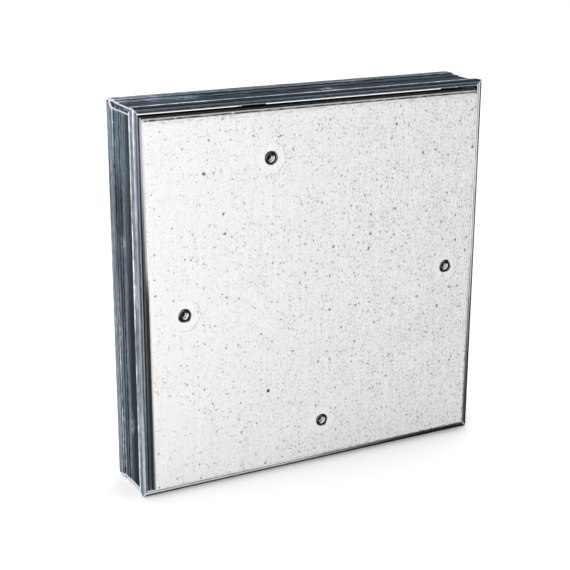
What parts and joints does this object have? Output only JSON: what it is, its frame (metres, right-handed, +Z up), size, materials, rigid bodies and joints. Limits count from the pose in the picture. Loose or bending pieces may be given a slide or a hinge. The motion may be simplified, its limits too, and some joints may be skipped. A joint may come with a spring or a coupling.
{
  "type": "access panel",
  "caption": "Square tile-in access panel: a mitred aluminium frame with a pull-off door leaf of gypsum fibre board in thin edging, held by magnet catches.",
  "frame": {"origin": "centre of the underside of the panel's box, on the surface that its lower rail stands on", "axes": "+X to the right seen from the front, +Y from the board's face into the wall, +Z up"},
  "size_m": [0.3, 0.053, 0.3],
  "materials": {
    "frame_aluminium": "mill finish, blue-grey, streaked along its length",
    "key_aluminium": "sawn extrusion, dull",
    "gypsum_fibre": "matt off-white fibre board with grey-brown specks",
    "edging_aluminium": "dark grey, satin",
    "zinc_steel": "zinc-plated sheet, lightly spangled",
    "black_steel": "blackened steel, half gloss",
    "turned_steel": "turned, fine rings",
    "nickel_steel": "nickel plate",
    "magnet": "sintered, matt",
    "bright_fastener": "zinc-plated",
    "rivet_aluminium": "bright"
  },
  "bodies": {
    "frame": {"frame_rail_bottom": "frame_aluminium", "frame_rail_right": "frame_aluminium", "frame_rail_top": "frame_aluminium", "frame_rail_left": "frame_aluminium", "corner_key_bottom_left": "key_aluminium", "corner_key_bottom_right": "key_aluminium", "corner_key_top_right": "key_aluminium", "corner_key_top_left": "key_aluminium", "catch_bracket_bottom": "zinc_steel", "catch_bracket_right": "zinc_steel", "catch_bracket_top": "zinc_steel", "catch_bracket_left": "zinc_steel", "magnet_cup_bottom": "nickel_steel", "magnet_cup_right": "nickel_steel", "magnet_cup_top": "nickel_steel", "magnet_cup_left": "nickel_steel", "ring_magnet_bottom": "magnet", "ring_magnet_right": "magnet", "ring_magnet_top": "magnet", "ring_magnet_left": "magnet", "magnet_screws": "bright_fastener", "magnet_nuts": "bright_fastener", "bracket_rivets": "rivet_aluminium"},
    "door_leaf": {"gypsum_board": "gypsum_fibre", "door_edging_bottom": "edging_aluminium", "door_edging_right": "edging_aluminium", "door_edging_top": "edging_aluminium", "door_edging_left": "edging_aluminium", "corner_plate_bottom_left": "zinc_steel", "corner_plate_bottom_right": "zinc_steel", "corner_plate_top_right": "zinc_steel", "corner_plate_top_left": "zinc_steel", "corner_plate_rivets": "rivet_aluminium", "board_screw_bottom": "black_steel", "board_screw_right": "black_steel", "board_screw_top": "black_steel", "board_screw_left": "black_steel", "keeper_disc_bottom": "turned_steel", "keeper_disc_right": "turned_steel", "keeper_disc_top": "turned_steel", "keeper_disc_left": "turned_steel"}
  },
  "joints": [
    {"name": "door_pull_off", "type": "slide", "parent": "frame", "child": "door_leaf", "axis": [0, -1, 0], "range_m": [0, 0.08]}
  ]
}
